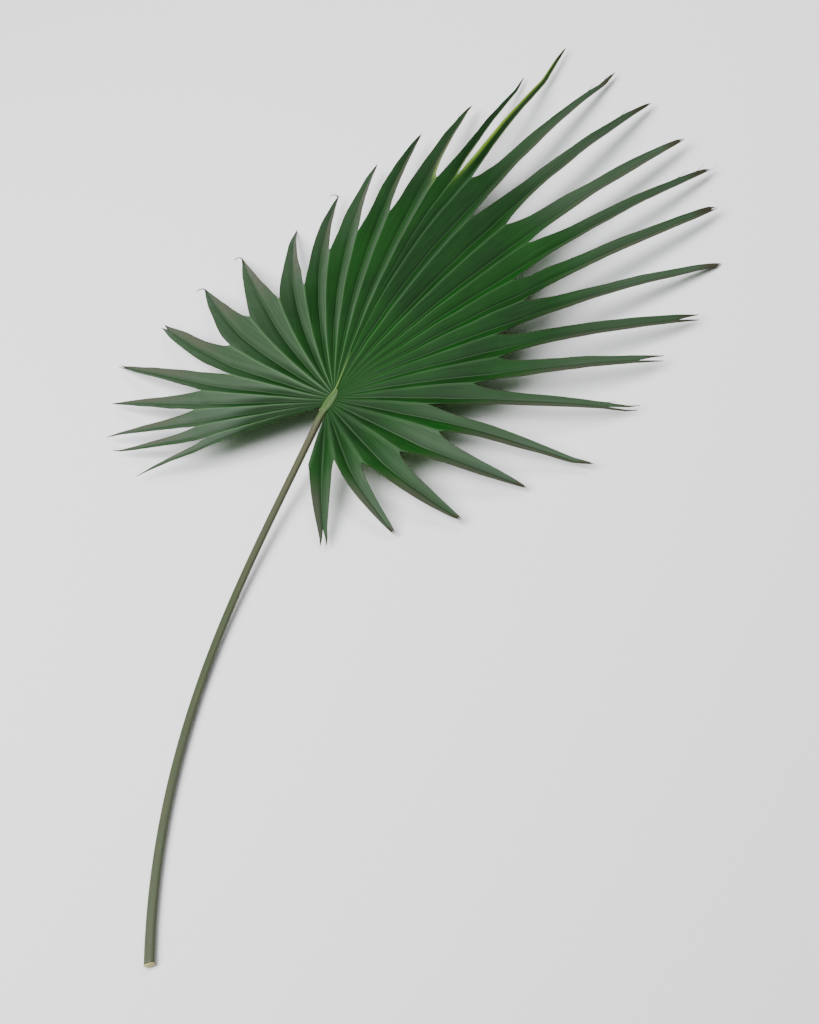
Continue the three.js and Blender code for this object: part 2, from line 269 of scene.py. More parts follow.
def edge_point(k, distance):
    """A pleat's upper edge, shared by two segments as far as the slit between them."""
    point = rib(k).arch(distance)
    point.z += pleat_rise(k, distance) / 2
    return point


def valley_point(i, distance):
    """The midrib of segment i, in the fold's valley."""
    point = rib(i + 0.5).arch(distance)
    point.z -= pleat_rise(i + 0.5, distance) / 2
    return point


class Segment:
    """One of the fan's segments: joined to its neighbours at first, then free and tapering to its tip."""

    def __init__(self, i):
        self.i = i
        self.rib = rib(i + 0.5)
        self.joined = (notch_distance(i) + notch_distance(i + 1)) / 2
        self.length = self.rib.length + TIP_EXTRA[i] * MM
        split = DEEP_SPLIT.get(i, SHORTEST_SPLIT * (1 + wobble(i, *SPLIT_DRAW)))
        self.split_at = 1 - split / (self.length - self.joined)
        self.prong_narrowing = DEEP_PRONG_NARROWING if i in DEEP_SPLIT else SHORT_PRONG_NARROWING
        self.pleat = radians(along(PLEAT_ANGLE, self.rib.place))
        self.fold = radians(TIGHT_FOLD.get(i, FREE_FOLD + wobble(i, *FOLD_DRAW)))
        self.panel = half_pitch(i + 0.5, self.joined) / cos(self.pleat)
        resting = RESTING_HEIGHT - TIP_HEIGHT
        self.tip_rise = resting if i in RESTING_TIPS else TIP_RISE + wobble(i, *TIP_RISE_DRAW)
        self.sway = TIP_SWAY[i] * MM
        self.twist = radians(wobble(i, *TWIST_DRAW))
        self.taper_power = FULL_TAPER.get(i, along(TAPER_POWER, self.rib.place))
        self.neck = along(NECK, self.rib.place) + EXTRA_NECK.get(i, 0)

    def panel_width(self, s, side):
        """Width of one side of the free part at share s of its length. Its margin is a little uneven."""
        full = self.panel * (1 - self.neck * (1 - exp(-s / NECK_SHARE)))
        smooth = full * (1 - min(s, self.split_at)) ** self.taper_power
        distance = s * (self.length - self.joined)
        apart = (self.i * MARGIN_OFFSETS[0], side * MARGIN_OFFSETS[1])
        unevenness = noise.noise((distance * MARGIN_WAVES, *apart))
        return smooth * (1 + MARGIN_UNEVENNESS * unevenness * clamp(s / MARGIN_FADE, 0, 1))

    def joined_point(self, share, side, across):
        """share runs from the root to the slit; side is -1 or 1, and across runs from midrib to edge."""
        k = self.i if side < 0 else self.i + 1
        valley = valley_point(self.i, share * self.joined)
        edge = edge_point(k, share * notch_distance(k))
        lift = self.rib.heading.cross(edge - valley) * -side
        return valley.lerp(edge, across) + lift * (PANEL_BULGE * sin(pi * across))

    def free_point(self, s, side, across):
        """s runs from the slit to the tip."""
        distance = self.joined + (self.length - self.joined) * s
        centre = self.rib.arch(distance)
        centre.z -= pleat_rise(self.i + 0.5, self.joined) / 2 * (1 - s) ** 2
        centre.z += self.tip_rise * s * s
        centre += self.rib.right * (self.sway * s**SWAY_POWER)

        v = max(0, (s - self.split_at) / (1 - self.split_at))
        panel = self.panel_width(s, side) * (1 - self.prong_narrowing * v)
        reach = panel * across
        angle = self.pleat + (self.fold - self.pleat) * min(1, s / FOLD_TURN)
        tilt = angle - side * self.twist * s
        bulge = PANEL_BULGE * panel * sin(pi * across)
        centre += self.rib.right * (side * (reach * cos(tilt) - bulge * sin(tilt)))
        centre.z += (reach * sin(tilt) + bulge * cos(tilt)) * (1 - PRONG_FLATTENING * v)

        k = self.i if side < 0 else self.i + 1
        slit = edge_point(k, notch_distance(k))
        start = valley_point(self.i, self.joined)
        start += self.rib.right * (side * self.panel * cos(self.pleat))
        start.z += self.panel * sin(self.pleat)
        return centre + (slit - start) * (across * (1 - s) ** SLIT_BLEND_POWER)


MIDRIB = (1, 0)  # the midrib's side and across; it is the same from both sides


def stalk_line():
    """The stalk's middle line from the blade to the cut end."""
    points = []
    p = Vector((0, COSTA_CENTRE - COSTA_HALF_LENGTH, 0))
    step = STALK_LENGTH / STALK_STEPS
    lying = STALK_HALF_WIDTH[1] * STALK_DEPTH_SHARE
    for n in range(STALK_STEPS + 1):
        share = n / STALK_STEPS
        raised = HUB_HEIGHT + COSTA_RISE * p.y * (1 - share) - lying
        p.z = lying + raised * (1 - share) ** STALK_SAG_POWER
        points.append(p.copy())
        heading = radians(STALK_HEADING[0] + (STALK_HEADING[1] - STALK_HEADING[0]) * share)
        p.x += step * sin(heading)
        p.y -= step * cos(heading)
    return points


# What the blade's material reads at each corner of a face

def grain_layer(bm):
    """A corner's place across and along the fibres, in metres on the blade."""
    return bm.loops.layers.uv.get("grain") or bm.loops.layers.uv.new("grain")


def where_layer(bm):
    """A corner's place on its segment.

    Red is the place across a panel, from midrib to edge, and green the place out from the hub.
    Blue is the place along the free part, and alpha is the amount of painted sheen.
    """
    return bm.loops.layers.float_color.get("where") or bm.loops.layers.float_color.new("where")


def painted_glow_layer(bm):
    """How much painted glow of light shining through the blade a corner has, as a grey."""
    return bm.loops.layers.float_color.get("painted_glow") or bm.loops.layers.float_color.new("painted_glow")


def painted_sheen_amount(segment, side, across, distance):
    """How much painted greyish sheen a place on the blade has, painted light and shade by place and by
    side of the fold. Below 0 there is none, and above 1 it is full.
    """
    place = segment.rib.place
    base = along(PAINTED_SHEEN, place) + wobble(segment.i, *PAINTED_SHEEN_DRAW)
    if side > 0:
        joined = along(RIGHT_SIDE_PAINTED_SHADING, place) * fade(across, RIGHT_SIDE_PAINTED_SHADING_START, 1)
        free = along(FREE_PAINTED_SHEEN, place)
    else:
        joined = along(LEFT_SIDE_PAINTED_SHADING, place)
        free = along(FREE_PAINTED_SHEEN, place) + along(FREE_LEFT_PAINTED_LIGHT, place)
    turn = fade(distance / segment.length, *PAINTED_SHEEN_TURN)
    in_lobe = clamp(1 - segment.i / LOBE_SEGMENTS, 0, 1)
    lobe = LOBE_PAINTED_SHADE * in_lobe * (1 - fade(distance, 0, segment.joined))
    hub = HUB_PAINTED_SHADE * (1 - fade(distance / REACH_UNIT, *HUB_FADE))
    return base + joined + (free - joined) * turn + lobe + hub


def painted_glow_amount(i, side, across, out):
    """How much painted yellow-green glow of light shining through the thin blade a place has, from 0 to
    1.
    """
    if (i, side) not in PAINTED_GLOW_MARGINS:
        return 0
    begins, full, inner, most = PAINTED_GLOW_MARGINS[i, side]
    return most * fade(out, begins, full) * fade(across, inner, inner + PAINTED_GLOW_EDGE)


# Grids that follow the form

SEAM_DISTANCE = 1e-6


def shaped_grid(bm, columns, rows, place):
    """A grid whose points go where place(column share, row share) says: (point, grain, where)."""
    grid = bmesh.ops.create_grid(bm, x_segments=columns, y_segments=rows, size=1)
    facts = {}
    for vert in grid["verts"]:
        point, grain, where = place((vert.co.x + 1) / 2, (vert.co.y + 1) / 2)
        facts[vert] = (grain, where)
        vert.co = point
    grains, wheres = grain_layer(bm), where_layer(bm)
    for face in {face for vert in grid["verts"] for face in vert.link_faces}:
        for loop in face.loops:
            loop[grains].uv, loop[wheres] = facts[loop.vert]
    return grid["verts"]


def stations_along(points):
    """Places on a line with their own right and up, level across."""
    out = []
    for n, centre in enumerate(points):
        ahead = points[min(n + 1, len(points) - 1)]
        behind = points[max(n - 1, 0)]
        heading = (ahead - behind).normalized()
        right = Vector((heading.y, -heading.x, 0)).normalized()
        out.append((centre, right, right.cross(heading).normalized()))
    return out


def sweep(bm, line, sides, section):
    """A closed skin round a line, with the outline section(turn, share).

    Its faces point outwards. Returns the two that close its ends.
    """
    stations = stations_along(line)
    last = len(stations) - 1

    def place(column, row):
        n = round(row * last)
        centre, right, up = stations[n]
        x, z = section(2 * pi * column, n / last)
        return centre + right * x + up * z, (column, n / last), (column, n / last, 0, 0)

    verts = shaped_grid(bm, sides, last, place)
    bmesh.ops.remove_doubles(bm, verts=verts, dist=SEAM_DISTANCE)
    kept = [vert for vert in verts if vert.is_valid]
    rims = dict.fromkeys(edge for vert in kept for edge in vert.link_edges if edge.is_boundary)
    ends = bmesh.ops.holes_fill(bm, edges=list(rims), sides=0)["faces"]
    skin = dict.fromkeys(face for vert in kept for face in vert.link_faces)
    bmesh.ops.recalc_face_normals(bm, faces=list(skin))
    return ends


def tube(bm, line, sides, radii):
    """A closed round tube along a line, from the first radius to the second."""

    def section(turn, share):
        radius = radii[0] + (radii[1] - radii[0]) * share
        return radius * cos(turn), radius * sin(turn)

    sweep(bm, line, sides, section)


def new_piece(name, bm, materials, node):
    """Makes a piece that replaces a node, which it hides."""
    mesh = bpy.data.meshes.new(name)
    bm.to_mesh(mesh)
    bm.free()
    mesh.shade_smooth()
    for material in materials:
        mesh.materials.append(material)
    piece = bpy.data.objects.new(name, mesh)
    bpy.context.scene.collection.objects.link(piece)
    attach(piece, "root")
    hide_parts(node)
    return piece


# The stalk

STALK_RINGS = 160
COSTA_RINGS = 30
STALK_SIDES = 32
UPPER_FLATNESS = 0.72  # the upper side's height, as a share of the lower side's
CHANNEL_DEPTH = 0.16  # of the stalk's half depth, along its upper side
CHANNEL_SPREAD = 0.45  # of the stalk's half width
CHANNEL_FADE = 6  # it fades out over the last sixth of the stalk before the blade


def stalk_facts():
    """(centre, half width, depth, channel) from the cut end to the costa's point."""
    coarse = stalk_line()
    xs, ys, zs = ([p[axis] for p in coarse] for axis in range(3))
    thin, thick = STALK_HALF_WIDTH
    out = []
    for n in range(STALK_RINGS + 1):
        share = 1 - n / STALK_RINGS
        centre = Vector((along(xs, share), along(ys, share), along(zs, share)))
        half_width = thin + (thick - thin) * share**STALK_WIDTH_POWER
        channel = clamp(share * CHANNEL_FADE, 0, 1)
        out.append((centre, half_width, half_width * STALK_DEPTH_SHARE, channel))
    first, last = COSTA_SHARES
    for n in range(1, COSTA_RINGS + 1):
        share = first + (last - first) * n / COSTA_RINGS
        y = COSTA_CENTRE + COSTA_HALF_LENGTH * share
        half_width = COSTA_HALF_WIDTH * (1 - share * share) ** 0.5
        depth = thin * STALK_DEPTH_SHARE * (1 - COSTA_THINNING * (share - first) / (last - first))
        out.append((Vector((0, y, HUB_HEIGHT + COSTA_RISE * y)), half_width, depth, 0))
    return out


def leaf_stalk():
    """The stalk with its channel, and the costa, in one closed skin."""
    facts = stalk_facts()
    last = len(facts) - 1

    def section(turn, share):
        _, half_width, depth, channel = facts[round(share * last)]
        x, z = cos(turn), sin(turn)
        if z > 0:
            z = z * UPPER_FLATNESS - CHANNEL_DEPTH * channel * exp(-((x / CHANNEL_SPREAD) ** 2))
        return half_width * x, depth * z

    bm = bmesh.new()
    ends = sweep(bm, [centre for centre, *_ in facts], STALK_SIDES, section)
    cut = min(ends, key=lambda face: face.calc_center_median().y)
    cut.material_index = 1
    return bm


# The blade

def blade_place(segment, side):
    """Where a half-segment's grid points go: rows first to the slit, then to the tip, then its split."""

    def place(column, row):
        n = round(row * BLADE_ROWS)
        across = column if side > 0 else 1 - column
        across = (1 - cos(pi * across)) / 2
        free = 0
        if n <= JOINED_ROWS:
            share = (n / JOINED_ROWS) ** ROW_POWER
            point = segment.joined_point(share, side, across)
            distance = share * segment.joined
            width = segment.panel * share
        elif n <= JOINED_ROWS + FREE_ROWS:
            free = segment.split_at * ((n - JOINED_ROWS) / FREE_ROWS) ** ROW_POWER
            point = segment.free_point(free, side, across)
        else:
            v = (n - JOINED_ROWS - FREE_ROWS) / SPLIT_ROWS
            free = segment.split_at + (1 - segment.split_at) * v
            inner = SPLIT_OPENING * v**SPLIT_OPENING_POWER
            point = segment.free_point(free, side, inner + (1 - inner) * across)
        if free > 0:
            distance = segment.joined + (segment.length - segment.joined) * free
            width = segment.panel_width(free, side)
        grain = (side * width * across, distance)
        painted_sheen = painted_sheen_amount(segment, side, across, distance)
        return point, grain, (across, distance / REACH_UNIT, free, painted_sheen)

    return place


def swollen(point):
    """A place on the blade after its soft, uneven rise and fall.

    That fades out towards the surface and towards the blade's highest part.
    """
    rise = sum(height * noise.noise(point * waves) for height, waves in SWELLS)
    rise *= clamp((point.z - SWELL_RANGE[0]) / SWELL_FADE[0], 0, 1)
    rise *= clamp((SWELL_RANGE[1] - point.z) / SWELL_FADE[1], 0, 1)
    return point + Vector((0, 0, rise))


def fan_blade():
    """The blade's middle surface, from one grid for each side of each segment."""
    bm = bmesh.new()
    # All layers are made first, because a new one can spoil those already fetched.
    for layer in (grain_layer, where_layer, painted_glow_layer):
        layer(bm)
    wheres, painted_glows = where_layer(bm), painted_glow_layer(bm)
    for i in range(SEGMENTS):
        segment = Segment(i)
        for side in (-1, 1):
            verts = shaped_grid(bm, COLUMNS, BLADE_ROWS, blade_place(segment, side))
            for loop in (loop for vert in verts for loop in vert.link_loops):
                across, out, _, _ = loop[wheres]
                amount = painted_glow_amount(i, side, across, out)
                loop[painted_glows] = (amount, amount, amount, 1)
    bmesh.ops.remove_doubles(bm, verts=bm.verts, dist=WELD_DISTANCE)
    for vert in bm.verts:
        vert.co = swollen(vert.co)
    return bm


MIDRIB_ROWS = 44
MIDRIB_SIDES = 8
MIDRIB_RADII = (0.00075, 0.0003)  # at the root and at the tip
MIDRIB_START = 0.06  # of the joined part
MIDRIB_SINK = 0.8  # of its radius: how far its middle lies under the blade


def midribs():
    """The raised midribs on the underside, one along the bottom of each fold."""
    bm = bmesh.new()
    thick, thin = MIDRIB_RADII
    for i in range(SEGMENTS):
        segment = Segment(i)
        line = []
        for n in range(MIDRIB_ROWS):
            share = MIDRIB_START + (1 - MIDRIB_START) * n / MIDRIB_ROWS
            line.append(swollen(segment.joined_point(share, *MIDRIB)))
        for n in range(MIDRIB_ROWS):
            line.append(swollen(segment.free_point(segment.split_at * n / MIDRIB_ROWS, *MIDRIB)))
        for n, point in enumerate(line):
            radius = thick + (thin - thick) * n / len(line)
            point.z -= BLADE_THICKNESS / 2 + MIDRIB_SINK * radius
        tube(bm, line, MIDRIB_SIDES, MIDRIB_RADII)
    return bm


# The tips' threads

THREAD_POINTS = 12
THREAD_SIDES = 6
CURL_POWER = 1.5

HOOKED_TIPS = {6: 200, 7: 230, 9: 190}  # how far a tip's own thread curls, in degrees
HOOK_LENGTH = 0.020
HOOK_LIFT = 0.25
HOOK_RADII = (0.001, 0.0003)

FRAYED_TIPS = {15: 4, 18: 5, 16: 1, 23: 2, 12: 1}  # how many threads have come loose beside the tip
FRAY_PLACE = 0.84  # where the first comes loose, as a share of the free part
FRAY_STEP = 0.035  # and how much further on the next one does
FRAY_PLACE_MOST = 0.01  # what a draw adds to that at most
FRAY_ACROSS = 0.96
FRAY_SIDES = (-1, 1, 1)  # in turn
FRAY_TURN = 5  # degrees away from the rib
FRAY_TURN_STEP = 3
FRAY_LENGTH = 0.015
FRAY_LENGTH_MOST = 0.006  # what a draw adds to it at most
FRAY_CURL = 26  # degrees
FRAY_LIFT = 0.1
FRAY_RADII = (0.0004, 0.00014)


def thread_line(start, heading, length, curl, lift):
    """A thread's middle line: it turns by curl degrees on its way, and rises or sinks by lift."""
    line = [start]
    for n in range(THREAD_POINTS):
        share = n / THREAD_POINTS
        turned = Matrix.Rotation(radians(curl) * share**CURL_POWER, 3, "Z") @ heading
        line.append(line[-1] + (turned + Vector((0, 0, lift * share))) * (length / THREAD_POINTS))
    return line


def tip_threads():
    """The curled ends of some tips, and the threads that have come loose beside others."""
    bm = bmesh.new()
    for i, curl in HOOKED_TIPS.items():
        segment = Segment(i)
        start = swollen(segment.free_point(segment.split_at, *MIDRIB))
        line = thread_line(start, segment.rib.heading, HOOK_LENGTH, curl, HOOK_LIFT)
        tube(bm, line, THREAD_SIDES, HOOK_RADII)
    for i, count in FRAYED_TIPS.items():
        segment = Segment(i)
        for n in range(count):
            side = FRAY_SIDES[n % len(FRAY_SIDES)]
            s = FRAY_PLACE + FRAY_STEP * n + wobble(i, FRAY_PLACE_MOST, n)
            start = swollen(segment.free_point(min(s, segment.split_at), side, FRAY_ACROSS))
            turn = Matrix.Rotation(radians(-side * (FRAY_TURN + FRAY_TURN_STEP * n)), 3, "Z")
            length = FRAY_LENGTH + wobble(n, FRAY_LENGTH_MOST, i)
            line = thread_line(start, turn @ segment.rib.heading, length, side * FRAY_CURL, FRAY_LIFT)
            tube(bm, line, THREAD_SIDES, FRAY_RADII)
    return bm


# The lip across the stalk and the costa's fine end

HASTULA_STEPS = 16
HASTULA_SIDES = 14
HASTULA_HALF_WIDTH = 0.0064
HASTULA_PLACE = -0.0045  # its ends', along the stalk's direction, just behind the costa
HASTULA_BOW = 0.004  # how much further out its middle lies
HASTULA_HEIGHT = 0.0027  # its middle's, above the stalk's own middle line
HASTULA_FALL = 0.6  # the share of that height that its ends have less
HASTULA_RADIUS = 0.0006
HASTULA_END_RADIUS = 0.0001
HASTULA_END_POWER = 10  # a higher one rounds the ends more shortly
KNUCKLE_PLACES = (0.12, 0.88)  # along it
KNUCKLE_SPREAD = 0.09
KNUCKLE_RADIUS = 0.0009  # what a knuckle adds to the radius

SPIKE_CREST = 14  # the fan place of the crest that the costa's end follows
SPIKE_START = 0.5  # from the costa's middle to its point
SPIKE_START_HEIGHT = 0.0035  # above the hub
SPIKE_LENGTH = 0.060
SPIKE_POINTS = 16
SPIKE_SIDES = 12
SPIKE_LIFT = 0.0005
SPIKE_RADII = (0.0018, 0.0003)


def hastula():
    """The low lip across the stalk's upper side where the blade begins, with a knuckle at each end."""
    line = []
    for n in range(HASTULA_STEPS + 1):
        across = 2 * n / HASTULA_STEPS - 1
        x = HASTULA_HALF_WIDTH * across
        y = HASTULA_PLACE + HASTULA_BOW * (1 - across * across)
        z = HUB_HEIGHT + COSTA_RISE * y + HASTULA_HEIGHT * (1 - HASTULA_FALL * across * across)
        line.append(Vector((x, y, z)))

    def section(turn, share):
        knuckle = sum(exp(-(((share - place) / KNUCKLE_SPREAD) ** 2)) for place in KNUCKLE_PLACES)
        rounding = 1 - (2 * share - 1) ** HASTULA_END_POWER
        radius = (HASTULA_RADIUS + KNUCKLE_RADIUS * knuckle) * rounding + HASTULA_END_RADIUS
        return radius * cos(turn), radius * sin(turn)

    bm = bmesh.new()
    sweep(bm, line, HASTULA_SIDES, section)
    return bm


def costa_spike():
    """The costa's fine end, which runs on over the blade along one crest."""
    bm = bmesh.new()
    start_y = COSTA_CENTRE + COSTA_HALF_LENGTH * SPIKE_START
    line = [Vector((0, start_y, HUB_HEIGHT + SPIKE_START_HEIGHT))]
    for n in range(1, SPIKE_POINTS + 1):
        point = swollen(edge_point(SPIKE_CREST, SPIKE_LENGTH * n / SPIKE_POINTS))
        point.z += SPIKE_LIFT
        line.append(point)
    tube(bm, line, SPIKE_SIDES, SPIKE_RADII)
    return bm


# Materials. Colours are as seen on screen, from 0 to 255.

# The blade's, each as deep, fresh, painted sheen, painted crest highlight (also the fibres' and midrib
# line's colour) and painted valley shade.
UPPER_TONES = ((0, 40, 0), (1, 61, 0), (57, 77, 56), (74, 103, 69), (0, 25, 0))
LOWER_TONES = ((44, 88, 26), (74, 120, 40), (70, 110, 50), (120, 150, 70), (60, 96, 36))
UPPER_FINISH = (0.42, 0.6)  # roughness, and the strength of the painted highlight and shade lines along the folds
LOWER_FINISH = (0.55, 0.4)
# the painted yellow-green glow of light shining through the thin blade
PAINTED_GLOW_TONE = (134, 170, 54)
# the painted shade on the free parts' right sides
SHADED_SIDE_TONE = (78, 76, 66)
DRY_TONE = (50, 46, 30)

# The blade's noises: how each is stretched across and along the fibres, and its detail.
FIBRES = ((900, 14, 1), 2)
VEINS = ((320, 3, 1), 1)
BANDS = ((130, 1.5, 1), 1)
CLOUDS = (9, 4)  # scale and detail

# Where on a noise or on the painted sheen its colour comes in, from none to full, and how far it goes.
CLOUD_RANGE = (0.35, 0.7)
PAINTED_SHEEN_RANGE = (0.1, 1.0)
BAND_RANGE = (0.45, 0.7, 0, 0.45)
VEIN_RANGE = (0.45, 0.7, 0, 0.6)
FIBRE_RANGE = (0.4, 0.75, 0, 0.35)
STREAK_SHARE = 0.5  # how far a band goes to fresh, and a vein to deep
FIBRE_SHARE = 0.35  # how far a fibre goes from fresh to the crest highlight's colour

# The painted highlight lines along the crests and painted shade lines along the valleys. Their ranges are
# in line widths from the crest or the valley.
LINE_WIDTH_SHARE = 0.019  # of a panel's width, one REACH_UNIT out from the roots
WIDEST_LINE = 0.3  # of a panel's width
LEAST_OUT = 0.01
CREST_HIGHLIGHT_RANGE = (0.2, 2.2)
VALLEY_SHADE_RANGE = (0.5, 4.0)
VALLEY_SHADE_SHARE = 0.6  # of a painted crest highlight's strength
RIB_LINE_RANGE = (0.2, 0.9, 0.4, 0)
CREST_HIGHLIGHT_END = 0.06  # of the free part
LEFT_CREST_HIGHLIGHT = 0.35  # how strong the painted crest highlight is on a fold's left side, away from the light
CREST_HIGHLIGHT_BY_SHEEN = (-1.0, 0.1, 0.15, 1)  # how strong the painted crest highlight is by the painted sheen
SIDE_TURN = 0.0006  # metres from the midrib to where the left or right side begins in full

# The painted shade on the right side past the slits, and the thin dry edge.
SHADED_SIDE_FREE = (0.02, 0.5, 0, 0.6)
SHADED_SIDE_ACROSS = (0, 0.5)
DRY_EDGE_ACROSS = (0.92, 0.985)
DRY_EDGE_FREE = (0.01, 0.1, 0, 0.8)
DRY_TIP = (0.9, 1.0, 0, 0.9)
DRY_TIP_UNEVENNESS = 0.08

# The blade's gloss and relief.
BLADE_SPECULAR = 0.13
BARE_ROUGHNESS = 0.15  # what a place without painted sheen adds
BARE_RANGE = (0.1, 0.9)
FIBRE_ROUGHNESS = (0.2, 0.8, -0.05, 0.07)
BAND_RELIEF = (0.0012, 0.5)  # distance and strength
VEIN_RELIEF = (0.0005, 0.5)
FIBRE_RELIEF = (0.00012, 0.5)

# The stalk's. Its length runs from 0 at the cut end to 1 at the costa's point.
STALK_TONE = (54, 66, 32)
STALK_UPPER_TONE = (72, 70, 42)
STALK_UPPER_RANGE = (0.5, 0.84)
COSTA_TONE = (66, 100, 40)
COSTA_RANGE = (0.82, 0.86)
STALK_FIBRE_TONE = (38, 46, 20)
STALK_FIBRES = ((60, 5, 1), 3)
STALK_FIBRE_RANGE = (0.35, 0.7, 0, 0.4)
STALK_FIBRE_RELIEF = (0.0003, 0.6)
BLOTCH_TONE = (88, 80, 44)
BLOTCHES = ((5, 14, 1), 4)
BLOTCH_RANGE = (0.5, 0.75, 0, 0.35)
BLOTCH_ROUGHNESS = (0.2, 0.8, 0.42, 0.6)

# The cut end's pith, with the ends of its bundles.
PITH_TONE = (196, 186, 132)
BUNDLE_TONE = (128, 112, 66)
BUNDLE_SCALE = 900
BUNDLE_RANGE = (0.1, 0.4, 1, 0)
BUNDLE_RELIEF = (0.0003, 0.7)
CUT_ROUGHNESS = 0.8

# The small pieces', with their roughness.
DRY_THREAD = ((58, 46, 32), 0.7)
HASTULA_GREEN = ((80, 98, 50), 0.5)
SPIKE_GREEN = ((78, 116, 44), 0.5)

# The sockets that a Mix node uses for colours.
MIX_A, MIX_B, MIX_RESULT = 6, 7, 2


class Nodes:
    """A short way to write a material's nodes."""

    def __init__(self, name):
        self.material = bpy.data.materials.new(name)
        self.material.use_nodes = True
        self.tree = self.material.node_tree
        self.shader = self.tree.nodes["Principled BSDF"]

    def add(self, kind, **settings):
        node = self.tree.nodes.new("ShaderNode" + kind)
        for name, value in settings.items():
            setattr(node, name, value)
        return node

    def link(self, source, target):
        """Joins an output to an input, or gives the input a plain value."""
        if isinstance(source, (int, float, tuple)):
            target.default_value = source
        else:
            self.tree.links.new(source, target)

    def math(self, operation, *values):
        node = self.add("Math", operation=operation)
        for socket, value in zip(node.inputs, values):
            self.link(value, socket)
        return node.outputs[0]

    def ramp(self, value, low, high, start=0.0, end=1.0):
        """A smooth step from start at low to end at high."""
        node = self.add("MapRange", interpolation_type="SMOOTHSTEP")
        for socket, item in zip(node.inputs, (value, low, high, start, end)):
            self.link(item, socket)
        return node.outputs[0]

    def mix(self, amount, a, b):
        node = self.add("Mix", data_type="RGBA")
        self.link(amount, node.inputs[0])
        self.link(a, node.inputs[MIX_A])
        self.link(b, node.inputs[MIX_B])
        return node.outputs[MIX_RESULT]

    def grain(self):
        return self.add("UVMap", uv_map="grain").outputs[0]

    def place(self):
        return self.add("TexCoord").outputs["Object"]

    def split(self, vector):
        """A vector's x, y and z."""
        node = self.add("SeparateXYZ")
        self.link(vector, node.inputs[0])
        return node.outputs[0], node.outputs[1], node.outputs[2]

    def noise(self, vector, scale, detail):
        node = self.add("TexNoise")
        self.link(vector, node.inputs["Vector"])
        node.inputs["Scale"].default_value = scale
        node.inputs["Detail"].default_value = detail
        return node.outputs["Fac"]

    def streaks(self, stretch, detail):
        """A noise that is stretched along the grain."""
        mapping = self.add("Mapping")
        self.link(self.grain(), mapping.inputs["Vector"])
        mapping.inputs["Scale"].default_value = stretch
        return self.noise(mapping.outputs[0], 1, detail)

    def bump(self, height, distance, strength, under=None):
        node = self.add("Bump")
        node.inputs["Strength"].default_value = strength
        node.inputs["Distance"].default_value = distance
        self.link(height, node.inputs["Height"])
        if under is not None:
            self.link(under, node.inputs["Normal"])
        return node.outputs[0]


class BladeNodes(Nodes):
    """A blade material's nodes, with the patterns and the place on the blade that its colours follow."""

    def __init__(self, name):
        super().__init__(name)
        where = self.add("Attribute", attribute_name="where")
        parts = self.add("SeparateColor")
        self.link(where.outputs["Color"], parts.inputs[0])
        self.across, self.out, self.free = parts.outputs[0], parts.outputs[1], parts.outputs[2]
        self.painted_sheen = where.outputs["Alpha"]
        sideways, _, _ = self.split(self.grain())
        self.side = self.ramp(sideways, -SIDE_TURN, SIDE_TURN)
        self.fibres = self.streaks(*FIBRES)
        self.veins = self.streaks(*VEINS)
        self.bands = self.streaks(*BANDS)
        self.clouds = self.noise(self.place(), *CLOUDS)


def srgb(*screen):
    """A colour from its red, green and blue on screen, from 0 to 255, by the usual curve."""
    shares = [value / 255 for value in screen]
    linear = [share / 12.92 if share <= 0.04 else ((share + 0.055) / 1.055) ** 2.4 for share in shares]
    return (*linear, 1.0)


def tissue_and_painted_sheen(m, deep, fresh, painted_sheen, crest):
    """The colour between the folds: two greens, the painted sheen over them, and fibres in three sizes.
    """
    colour = m.mix(m.ramp(m.clouds, *CLOUD_RANGE), deep, fresh)
    colour = m.mix(m.ramp(m.painted_sheen, *PAINTED_SHEEN_RANGE), colour, painted_sheen)
    colour = m.mix(m.ramp(m.bands, *BAND_RANGE), colour, m.mix(STREAK_SHARE, colour, fresh))
    colour = m.mix(m.ramp(m.veins, *VEIN_RANGE), colour, m.mix(STREAK_SHARE, colour, deep))
    return m.mix(m.ramp(m.fibres, *FIBRE_RANGE), colour, m.mix(FIBRE_SHARE, fresh, crest))


def with_painted_fold_lines(m, colour, crest, valley, strength):
    """Adds a painted highlight along each crest, and a painted shade line along each valley with a paler
    line at the midrib.

    A line has much the same width all along, so it takes a smaller share of a panel further out.
    """
    share = m.math("DIVIDE", LINE_WIDTH_SHARE, m.math("MAXIMUM", m.out, LEAST_OUT))
    share = m.math("MINIMUM", share, WIDEST_LINE)
    from_edge = m.math("DIVIDE", m.math("SUBTRACT", 1.0, m.across), share)
    from_rib = m.math("DIVIDE", m.across, share)
    joined = m.ramp(m.free, 0, CREST_HIGHLIGHT_END, 1, 0)
    lit = m.math("MULTIPLY", joined, m.ramp(m.side, 0, 1, LEFT_CREST_HIGHLIGHT, 1))
    lit = m.math("MULTIPLY", lit, m.ramp(m.painted_sheen, *CREST_HIGHLIGHT_BY_SHEEN))
    crest_highlight = m.math("MULTIPLY", m.ramp(from_edge, *CREST_HIGHLIGHT_RANGE, strength, 0), lit)
    valley_shade_line = m.ramp(from_rib, *VALLEY_SHADE_RANGE, VALLEY_SHADE_SHARE * strength, 0)
    colour = m.mix(valley_shade_line, colour, valley)
    colour = m.mix(m.ramp(from_rib, *RIB_LINE_RANGE), colour, crest)
    return m.mix(crest_highlight, colour, crest)


